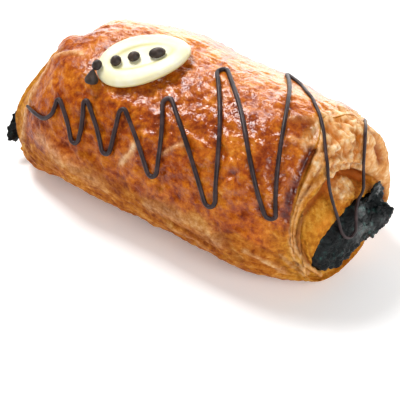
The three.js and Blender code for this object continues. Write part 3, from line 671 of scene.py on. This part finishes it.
def fillingMesh():
    bm = bmesh.new()
    angle = np.arange(filling["sectors"]) / filling["sectors"] * 2 * math.pi
    ringVerts = bmesh.ops.create_circle(bm, cap_ends=True, radius=1, segments=filling["sectors"])["verts"]
    order = sorted(ringVerts, key=lambda v: math.atan2(v.co.y, v.co.x) % (2 * math.pi))
    for index, (x, size) in enumerate(filling["rings"]):
        if index:
            before = order
            edges = [bm.edges.get((a, b)) for a, b in zip(before, before[1:] + before[:1])]
            made = bmesh.ops.extrude_edge_only(bm, edges=edges)["geom"]
            fresh = [v for v in made if isinstance(v, bmesh.types.BMVert)]
            order = [next(e.other_vert(v) for e in v.link_edges if e.other_vert(v) in set(fresh)) for v in before]
        for vert, place in zip(order, bandPoint(x, angle, size, 0)):
            vert.co = Vector(place) * mm
    bmesh.ops.contextual_create(bm, geom=order)
    for slab in ("rightFlake", "rightSpur", "leftFlake"):
        corners = [bmesh.ops.create_vert(bm, co=Vector(c) * mm)["vert"][0] for c in filling[slab]]
        bmesh.ops.convex_hull(bm, input=corners)
    bmesh.ops.recalc_face_normals(bm, faces=bm.faces)
    mesh = bpy.data.meshes.new("fillingForm")
    bm.to_mesh(mesh)
    bm.free()
    former = bpy.data.objects.new("fillingForm", mesh)
    bpy.context.scene.collection.objects.link(former)
    remesh = former.modifiers.new("fuse", "REMESH")
    remesh.mode = "VOXEL"
    remesh.voxel_size = filling["voxel"] * mm
    solid = bpy.data.meshes.new_from_object(former.evaluated_get(bpy.context.evaluated_depsgraph_get()))
    bpy.data.objects.remove(former)
    places = np.zeros(len(solid.vertices) * 3)
    solid.vertices.foreach_get("co", places)
    places = places.reshape(-1, 3) / mm
    normals = np.zeros(len(solid.vertices) * 3)
    solid.vertices.foreach_get("normal", normals)
    free = smoothStep(58.5, 60, np.abs(places[:, 0]))
    lumps = filling["lumpHeight"] * noiseOver(places, filling["lump"], 1.3, 2)
    crumbs = filling["crumbHeight"] * noiseOver(places, filling["crumb"], 8.8, 3)
    places += normals.reshape(-1, 3) * (free * (lumps + crumbs - filling["sunk"]))[:, None]
    places[:, 2] -= filling["sag"] * smoothStep(58.5, 61, places[:, 0]) * smoothStep(8, -8, places[:, 1])
    places[:, 1] += filling["sag"] * smoothStep(58.5, 61, places[:, 0]) * smoothStep(-6, -14, places[:, 1])
    places[:, 0] = np.clip(places[:, 0], -filling["farthest"], filling["farthest"])
    solid.vertices.foreach_set("co", (places * mm).ravel())
    wet = np.zeros(len(places))
    for x, y, z, reach in filling["wet"]:
        wet = np.maximum(wet, bell(np.linalg.norm(places - np.array((x, y, z)), axis=-1), reach))
    solid.attributes.new("wet", "FLOAT", "POINT").data.foreach_set("value", wet.astype(np.float32))
    return solid


# Chocolate paste that dried in the oven: near black, with a blue-green cast, satin and wet in a few places
def fillingMaterial():
    material, tree = newMaterial("bakedChocolateFilling")
    place = addNode(tree, "ShaderNodeTexCoord").outputs["Object"]
    wet = addNode(tree, "ShaderNodeAttribute", attribute_name="wet").outputs["Fac"]
    patches = addNode(tree, "ShaderNodeTexNoise", {"Vector": place, "Scale": 1000 / filling["patch"], "Detail": 5,
                                                   "Roughness": 0.65}).outputs["Fac"]
    grain = addNode(tree, "ShaderNodeTexNoise", {"Vector": place, "Scale": 1000 / filling["grain"], "Detail": 3,
                                                 "Roughness": 0.6}).outputs["Fac"]
    cloudy = addNode(tree, "ShaderNodeMath", {0: wet, 1: 0.1, 2: patches}, operation="MULTIPLY_ADD").outputs[0]
    colour = addNode(tree, "ShaderNodeValToRGB", {"Fac": cloudy}, stops=[
        (0.38, "#040607"), (0.5, "#080e0f"), (0.6, "#111d1d"), (0.7, "#33504b")]).outputs["Color"]
    roughness = addNode(tree, "ShaderNodeMapRange", {"Value": cloudy, "From Min": 0.4, "From Max": 0.7, "To Min": 0.55,
                                                     "To Max": 0.2}).outputs[0]
    dents = addNode(tree, "ShaderNodeBump", {"Height": patches, "Strength": 0.8, "Distance": 0.001}).outputs[0]
    bump = addNode(tree, "ShaderNodeBump", {"Height": grain, "Normal": dents, "Strength": 0.6,
                                            "Distance": 0.0004}).outputs[0]
    shader = addNode(tree, "ShaderNodeBsdfPrincipled", {
        "Base Color": colour, "Roughness": roughness, "Normal": bump, "IOR": 1.5, "Specular IOR Level": 0.22,
        "Coat Weight": wet, "Coat Roughness": 0.1, "Coat IOR": 1.8, "Coat Normal": dents})
    addNode(tree, "ShaderNodeOutputMaterial", {"Surface": shader.outputs[0]})
    return material


fillingPiece = finishPiece("chocolate_filling", fillingMesh(), fillingMaterial(), ["filling"])
print("filling:", len(fillingPiece.data.polygons), "faces")


# The piped strand, which lies on the dough and runs over the filling at the right end

strand = {
    # place along the roll, turn, radius of the turning point, bow of the leg that leads there
    "zigzag": [(-50.8, 162, 0, 0), (-38.5, 160.8, 6, -0.4), (-35.2, 147.8, 1, 0.5), (-24.8, 166.9, 1.7, 1),
               (-24, 141.9, 0.9, 0.5), (-11.9, 164.7, 1.9, 0.8), (-10.1, 138, 1.2, 0.3), (7.9, 164.1, 1.9, 1),
               (1.6, 122.1, 1.5, 1.5), (30.5, 165.7, 2.1, 2), (9.3, 89.5, 1.5, 4), (48.5, 159.6, 1.5, 4.5),
               (23.2, 62.3, 0.7, 5)],
    # then down the right end, over the filling and up again
    "down": [(28.2, 13.6, 50.9), (31, 12.4, 50.8), (36.4, 8, 52.7), (39.3, 6.1, 53), (42.4, 3.4, 53.4),
             (45.9, 0.8, 52.9), (48.5, -1.4, 51.6), (50.8, -3.5, 50.4), (53.7, -6.7, 48.3), (55.4, -8.5, 47),
             (57.2, -10.2, 45.3), (58.1, -11.1, 43.6), (58.6, -11.4, 41.1), (59.2, -10.9, 36.3), (60, -9.7, 30.8),
             (60.6, -8.8, 27.3)],
    "over": [(61.3, -8.4, 24.3), (62.2, -8, 21.1), (62.8, -6.5, 18.7), (63, -3.6, 17.5), (63.2, -1.7, 19.2),
             (63, -0.2, 22.9), (62.8, 1.1, 26.3)],
    "up": [(62.6, 1.8, 29.2), (62.2, 2.4, 32), (61.2, 3.7, 33.8), (60, 5.2, 36.2), (59.1, 6.4, 38.9), (58.7, 7, 41.3),
           (58.5, 7.4, 43.2), (57.4, 9, 46.2), (55.6, 11.7, 46.6), (53.4, 14.6, 45.6), (51, 18, 43.8)],
    "legStep": 4, "lift": 0.5, "least": 0.3, "softening": 8, "step": 0.5, "search": 4, "cloud": 3.333, "grain": 0.5556,
    # length and share of the unevenness of its thickness
    "uneven": [(5, 0.09), (1.7, 0.06)],
    # radius by the share of the way along
    "radius": [(0, 0.5), (0.02, 0.74), (0.5, 0.74), (0.74, 0.66), (0.82, 0.52), (0.97, 0.5), (1, 0.42)],
}


def zigzagPoints():
    # the zigzag in the sheet's own millimetres: straight legs with a slight bow, and a round turn at each point
    tips = [Vector((x, turn * arcPerDegree)) for x, turn, _, _ in strand["zigzag"]]
    route, last = [tips[0]], tips[0]
    for index in range(1, len(tips)):
        tip, (_, _, radius, bow) = tips[index], strand["zigzag"][index]
        if index + 1 < len(tips):
            back, ahead = (tips[index - 1] - tip).normalized(), (tips[index + 1] - tip).normalized()
            half = back.angle(ahead) / 2
            inward = (back + ahead).normalized()
            corner = tip - inward * radius * (1 / math.sin(half) - 1)
            centre = corner + inward * radius / math.sin(half)
            arrive, leave = corner + back * radius / math.tan(half), corner + ahead * radius / math.tan(half)
        else:
            arrive, leave, centre = tip, tip, None
        length = (arrive - last).length
        count = max(1, round(length / strand["legStep"]))
        for k in range(1, count):
            share = k / count
            route.append(last.lerp(arrive, share) + Vector((bow * math.sin(math.pi * share), 0)))
        if centre is None:
            route.append(tip)
        else:
            start = math.atan2(arrive.y - centre.y, arrive.x - centre.x)
            sweep = angleBetween(math.atan2(leave.y - centre.y, leave.x - centre.x), start)
            route += [centre + Vector((math.cos(a), math.sin(a))) * radius
                      for a in start + sweep * np.linspace(0, 1, 6)]
        last = leave
    x, angle = np.array([p.x for p in route]), np.radians([p.y / arcPerDegree for p in route])
    return [Vector(p) for p in sheetPoint(x, angle) + sheetNormal(x, angle) * strand["lift"]]


def smoothLine(points, step):
    # centripetal Catmull-Rom through the points, cut into steps of about this length
    points = [points[0] * 2 - points[1]] + points + [points[-1] * 2 - points[-2]]
    line = []
    for a, b, c, d in zip(points, points[1:], points[2:], points[3:]):
        ta, tb = 0.0, (b - a).length ** 0.5
        tc = tb + (c - b).length ** 0.5
        td = tc + (d - c).length ** 0.5
        count = max(1, round((c - b).length / step))
        for k in range(count):
            t = tb + (tc - tb) * k / count
            p = a * (tb - t) / (tb - ta) + b * (t - ta) / (tb - ta)
            q = b * (tc - t) / (tc - tb) + c * (t - tb) / (tc - tb)
            r = c * (td - t) / (td - tc) + d * (t - tc) / (td - tc)
            s = p * (tc - t) / (tc - ta) + q * (t - ta) / (tc - ta)
            u = q * (td - t) / (td - tb) + r * (t - tb) / (td - tb)
            line.append(s * (tc - t) / (tc - tb) + u * (t - tb) / (tc - tb))
    return line + [points[-2]]


def layOn(line, trees):
    # Raises the line softly where it would sink into the pieces that it lies on
    pushes = []
    for point in line:
        push = Vector()
        for tree in trees:
            spot, normal, _, distance = tree.find_nearest(point * mm)
            height = (point * mm - spot).dot(normal) / mm
            if height < strand["least"] and distance < strand["search"] * mm:
                push += normal * (strand["least"] - height)
        pushes.append(push)
    reach = strand["softening"]
    peaks = [max(pushes[max(0, i - reach // 3):i + reach // 3 + 1], key=lambda v: v.length) for i in range(len(pushes))]
    laid = []
    for i, point in enumerate(line):
        window = peaks[max(0, i - reach):i + reach + 1]
        laid.append(point + sum(window, Vector()) / len(window))
    return laid


def strandMesh():
    trees = []
    for piece in (doughPiece, fillingPiece):
        bm = bmesh.new()
        bm.from_mesh(piece.data)
        trees.append(BVHTree.FromBMesh(bm))
        bm.free()
    route = zigzagPoints() + [Vector(p) for part in ("down", "over", "up") for p in strand[part]]
    line = layOn(smoothLine(route, strand["step"]), trees)
    curve = bpy.data.curves.new("strandLine", "CURVE")
    curve.dimensions = "3D"
    curve.bevel_depth = 1
    curve.bevel_resolution = 3
    curve.use_fill_caps = True
    spline = curve.splines.new("POLY")
    spline.points.add(len(line) - 1)
    places, sizes = zip(*strand["radius"])
    for index, point in enumerate(line):
        share = index / (len(line) - 1)
        uneven = 1 + sum(part * noise.noise(point / length) for length, part in strand["uneven"])
        spline.points[index].co = (*(point * mm), 1)
        spline.points[index].radius = float(np.interp(share, places, sizes)) * uneven * mm
    former = bpy.data.objects.new("strandLine", curve)
    bpy.context.scene.collection.objects.link(former)
    mesh = bpy.data.meshes.new_from_object(former.evaluated_get(bpy.context.evaluated_depsgraph_get()))
    bpy.data.objects.remove(former)
    return mesh


# Dark chocolate piped from a bag and set: brown-grey and satin
def strandMaterial():
    material, tree = newMaterial("pipedDarkChocolate")
    place = addNode(tree, "ShaderNodeTexCoord").outputs["Object"]
    cloudy = addNode(tree, "ShaderNodeTexNoise", {"Vector": place, "Scale": 1000 / strand["cloud"],
                                                  "Detail": 3}).outputs["Fac"]
    grain = addNode(tree, "ShaderNodeTexNoise", {"Vector": place, "Scale": 1000 / strand["grain"],
                                                 "Detail": 2}).outputs["Fac"]
    colour = addNode(tree, "ShaderNodeValToRGB", {"Fac": cloudy}, stops=[
        (0.35, "#27191a"), (0.52, "#352526"), (0.68, "#463434")]).outputs["Color"]
    bump = addNode(tree, "ShaderNodeBump", {"Height": grain, "Strength": 0.25, "Distance": 0.0002}).outputs[0]
    shader = addNode(tree, "ShaderNodeBsdfPrincipled", {"Base Color": colour, "Roughness": 0.45, "Normal": bump,
                                                        "IOR": 1.48, "Specular IOR Level": 0.32})
    addNode(tree, "ShaderNodeOutputMaterial", {"Surface": shader.outputs[0]})
    return material


strandPiece = finishPiece("piped_strand", strandMesh(), strandMaterial(), [])
print("strand:", len(strandPiece.data.polygons), "faces")


# The plaque of white chocolate, with a shallow dip in its face, and the chips

plaque = {
    "length": 30.4, "width": 20.2, "thick": 2.8, "x": -14.2, "y": -9.9, "turned": 47, "lean": 17, "sag": 0.011,
    "dipLength": 0.74, "dipWidth": 0.52, "rimStart": 0.76, "rimWidth": 0.12, "steps": 96, "cloud": 6.25,
    # where the slope into the dip gets its painted shade, by share of the way out, and how strongly; likewise the
    # painted shade of the underside and lower rim
    "slopePlace": 0.64, "slopeReach": 0.075, "slopeShade": 0.85, "underShade": 0.75,
    # share of the way out and of the thickness
    "profile": [(0, 0), (0.5, 0), (0.88, 0), (0.93, 0.03), (0.965, 0.12), (0.99, 0.27), (1, 0.44), (0.995, 0.6),
                (0.98, 0.74), (0.955, 0.85), (0.92, 0.93), (0.87, 0.98), (0.82, 1), (0.76, 0.985), (0.7, 0.94),
                (0.64, 0.88), (0.58, 0.83), (0.5, 0.8), (0.4, 0.788), (0.25, 0.786), (0, 0.786)],
}
chips = [
    {"node": "chip_1", "along": -14.5, "across": 0.6, "radius": 1.7, "tall": 2.3, "long": 1.0},
    {"node": "chip_2", "along": -8.4, "across": 0.2, "radius": 1.8, "tall": 2.4, "long": 1.0},
    {"node": "chip_3", "along": -2.6, "across": -0.2, "radius": 1.8, "tall": 2.3, "long": 1.1},
    {"node": "chip_4", "along": 4.8, "across": -1.2, "radius": 2.0, "tall": 2.5, "long": 1.35},
]
drop = {"node": "chip_5", "radius": 2.2, "tall": 4.7, "lean": -14, "long": 1.0}
chipSteps, bloomSize = 32, 1.667
dropProfile = [(0, 0), (0.6, 0), (0.87, 0.02), (0.97, 0.1), (1, 0.2), (0.94, 0.33), (0.8, 0.47), (0.62, 0.61),
               (0.45, 0.74), (0.3, 0.86), (0.16, 0.95), (0, 1)]
chipProfile = [(0, 0), (0.55, 0), (0.8, 0.02), (0.93, 0.1), (1, 0.26), (0.99, 0.4), (0.92, 0.54), (0.78, 0.69),
               (0.58, 0.82), (0.36, 0.92), (0.15, 0.98), (0, 1)]


def spunForm(profile, steps):
    # A closed form of revolution about Z from a profile that starts and ends on the axis
    bm = bmesh.new()
    verts = [bmesh.ops.create_vert(bm, co=(r, 0, z))["vert"][0] for r, z in profile]
    edges = [bm.edges.new(pair) for pair in zip(verts, verts[1:])]
    bmesh.ops.spin(bm, geom=verts + edges, cent=(0, 0, 0), axis=(0, 0, 1), angle=2 * math.pi, steps=steps,
                   use_merge=True)
    bmesh.ops.remove_doubles(bm, verts=bm.verts, dist=1e-6)
    bmesh.ops.recalc_face_normals(bm, faces=bm.faces)
    return bm


def turnForm(bm, degrees, axis):
    bmesh.ops.rotate(bm, verts=bm.verts, cent=(0, 0, 0), matrix=Matrix.Rotation(math.radians(degrees), 3, axis))


def ontoPlaque(bm, along=0, across=0):
    # Bends and leans a form as the plaque does, at this place along and across it
    bmesh.ops.translate(bm, verts=bm.verts, vec=(along, across, 0))
    turnForm(bm, plaque["turned"], "Z")
    for vert in bm.verts:
        vert.co.z -= plaque["sag"] * vert.co.y ** 2
    turnForm(bm, plaque["lean"], "X")
    bmesh.ops.translate(bm, verts=bm.verts, vec=(plaque["x"], plaque["y"], 0))


def settledMesh(bm, node):
    # Scales a form to metres and centres it on its solid's box
    bmesh.ops.scale(bm, verts=bm.verts, vec=(mm, mm, mm))
    low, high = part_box(node)
    mine = [Vector(pick(v.co[k] for v in bm.verts) for k in range(3)) for pick in (min, max)]
    bmesh.ops.translate(bm, verts=bm.verts, vec=(low + high) / 2 - (mine[0] + mine[1]) / 2)
    mesh = bpy.data.meshes.new(node)
    bm.to_mesh(mesh)
    bm.free()
    return mesh


# White chocolate poured and set: ivory, satin, with a little depth to it
def whiteMaterial():
    material, tree = newMaterial("whiteChocolate")
    place = addNode(tree, "ShaderNodeTexCoord").outputs["Object"]
    cloudy = addNode(tree, "ShaderNodeTexNoise", {"Vector": place, "Scale": 1000 / plaque["cloud"],
                                                  "Detail": 3}).outputs["Fac"]
    colour = addNode(tree, "ShaderNodeValToRGB", {"Fac": cloudy}, stops=[
        (0.35, "#e8e0b4"), (0.65, "#eeead0")]).outputs["Color"]
    # painted shade in yellow-green on the slope into the dip and on the underside and lower rim
    dipShade = addNode(tree, "ShaderNodeAttribute", attribute_name="dipShade").outputs["Fac"]
    colour = addNode(tree, "ShaderNodeMix", {0: dipShade, 6: colour, 7: linearColour("#d8d08c")},
                     data_type="RGBA").outputs[2]
    bump = addNode(tree, "ShaderNodeBump", {"Height": cloudy, "Strength": 0.15, "Distance": 0.0004}).outputs[0]
    shader = addNode(tree, "ShaderNodeBsdfPrincipled", {
        "Base Color": colour, "Roughness": 0.42, "Normal": bump, "IOR": 1.48, "Subsurface Weight": 0.3,
        "Subsurface Radius": (1, 0.9, 0.5), "Subsurface Scale": 0.0015})
    addNode(tree, "ShaderNodeOutputMaterial", {"Surface": shader.outputs[0]})
    return material


# Dark chocolate chips: deep brown with a dull bloom
def chipMaterial():
    material, tree = newMaterial("darkChocolateChip")
    place = addNode(tree, "ShaderNodeTexCoord").outputs["Object"]
    bloom = addNode(tree, "ShaderNodeTexNoise", {"Vector": place, "Scale": 1000 / bloomSize,
                                                 "Detail": 4}).outputs["Fac"]
    colour = addNode(tree, "ShaderNodeValToRGB", {"Fac": bloom}, stops=[
        (0.35, "#21160f"), (0.52, "#33241b"), (0.68, "#4a382d")]).outputs["Color"]
    bump = addNode(tree, "ShaderNodeBump", {"Height": bloom, "Strength": 0.35, "Distance": 0.0003}).outputs[0]
    shader = addNode(tree, "ShaderNodeBsdfPrincipled", {"Base Color": colour, "Roughness": 0.55, "Normal": bump,
                                                        "IOR": 1.48})
    addNode(tree, "ShaderNodeOutputMaterial", {"Surface": shader.outputs[0]})
    return material


def makePlaque():
    bm = spunForm([(r, z * plaque["thick"]) for r, z in plaque["profile"]], plaque["steps"])
    narrow = plaque["dipWidth"] / plaque["dipLength"]
    dipShade = bm.verts.layers.float.new("dipShade")
    for vert in bm.verts:
        share = math.hypot(vert.co.x, vert.co.y)
        if vert.co.z > plaque["thick"] / 2:
            rim = min(1.0, max(0.0, (share - plaque["rimStart"]) / plaque["rimWidth"]))
            vert[dipShade] = plaque["slopeShade"] * bell(share - plaque["slopePlace"], plaque["slopeReach"])
        else:
            rim = 1.0
            vert[dipShade] = plaque["underShade"]
        vert.co.x *= plaque["length"] / 2
        vert.co.y *= plaque["width"] / 2 * (narrow + (1 - narrow) * rim)
    ontoPlaque(bm)
    return settledMesh(bm, "white_plaque")


def makeChip(chip):
    profile = dropProfile if chip is drop else chipProfile
    bm = spunForm([(r * chip["radius"], z * chip["tall"]) for r, z in profile], chipSteps)
    bmesh.ops.scale(bm, verts=bm.verts, vec=(chip["long"], 1, 1))
    if chip is drop:
        turnForm(bm, chip["lean"], "X")
    else:
        ontoPlaque(bm, chip["along"], chip["across"])
    return settledMesh(bm, chip["node"])


finishPiece("white_chocolate_plaque", makePlaque(), whiteMaterial(), ["white_plaque"])
chipLook = chipMaterial()
for chip in chips + [drop]:
    finishPiece("chocolate_" + chip["node"], makeChip(chip), chipLook, [chip["node"]])
print("plaque and chips done")


# Camera, floor and light

def placeCamera():
    right, up, back = viewAxes()
    spot = Vector(view["centre"]) * mm + back * view["distance"] * mm
    offX = view["frame"] / 2 - view["centreInFrame"][0]
    offY = view["frame"] / 2 - view["centreInFrame"][1]
    aim = -back * view["focal"] + right * offX - up * offY
    camera = bpy.data.objects.new("camera", bpy.data.cameras.new("camera"))
    bpy.context.scene.collection.objects.link(camera)
    camera.location = spot
    camera.rotation_euler = aim.to_track_quat("-Z", "Y").to_euler()
    camera.data.sensor_width = view["sensor"]
    camera.data.lens = view["focal"] / view["frame"] * view["sensor"]
    camera.data.clip_start = 0.01
    camera.data.clip_end = 20
    bpy.context.scene.camera = camera


lights = [
    {"name": "overhead", "place": (-415, 70, 690), "size": (320, 320), "power": 6.6},
    {"name": "backWall", "place": (-420, 900, 240), "size": (1300, 650), "power": 10.5},
    {"name": "rightFill", "place": (720, -300, 500), "size": (500, 400), "power": 4.6},
]
# The floor glows a little by itself, which lightens the shadows on it and lights the pastry from below.
studio = {"aim": (0, 0, 30), "worldStrength": 0.22, "floorHalf": 3000, "floorDrop": 0.2, "floorColour": "#f7f7f7",
          "floorRoughness": 0.9, "floorSelfGlow": 0.2}


def placeLights():
    for light in lights:
        data = bpy.data.lights.new(light["name"], "AREA")
        data.shape = "RECTANGLE"
        data.size, data.size_y = (s * mm for s in light["size"])
        data.energy = light["power"]
        lamp = bpy.data.objects.new(light["name"], data)
        bpy.context.scene.collection.objects.link(lamp)
        lamp.location = Vector(light["place"]) * mm
        lamp.rotation_euler = (Vector(studio["aim"]) * mm - lamp.location).to_track_quat("-Z", "Y").to_euler()
    world = bpy.data.worlds.new("studio")
    bpy.context.scene.world = world
    world.use_nodes = True
    world.node_tree.nodes["Background"].inputs["Color"].default_value = (1, 1, 1, 1)
    world.node_tree.nodes["Background"].inputs["Strength"].default_value = studio["worldStrength"]


def makeFloor():
    bm = bmesh.new()
    bmesh.ops.create_grid(bm, x_segments=1, y_segments=1, size=studio["floorHalf"] * mm)
    mesh = bpy.data.meshes.new("floor")
    bm.to_mesh(mesh)
    bm.free()
    material, tree = newMaterial("glowingWhiteBoard")
    shader = addNode(tree, "ShaderNodeBsdfPrincipled", {
        "Base Color": linearColour(studio["floorColour"]), "Roughness": studio["floorRoughness"],
        "Emission Color": (1, 1, 1, 1), "Emission Strength": studio["floorSelfGlow"]})
    addNode(tree, "ShaderNodeOutputMaterial", {"Surface": shader.outputs[0]})
    mesh.materials.append(material)
    floor = bpy.data.objects.new("floor", mesh)
    bpy.context.scene.collection.objects.link(floor)
    floor.location.z = -studio["floorDrop"] * mm


placeCamera()
placeLights()
makeFloor()
bpy.context.scene.view_settings.view_transform = "Standard"
print("camera, floor and lights placed")
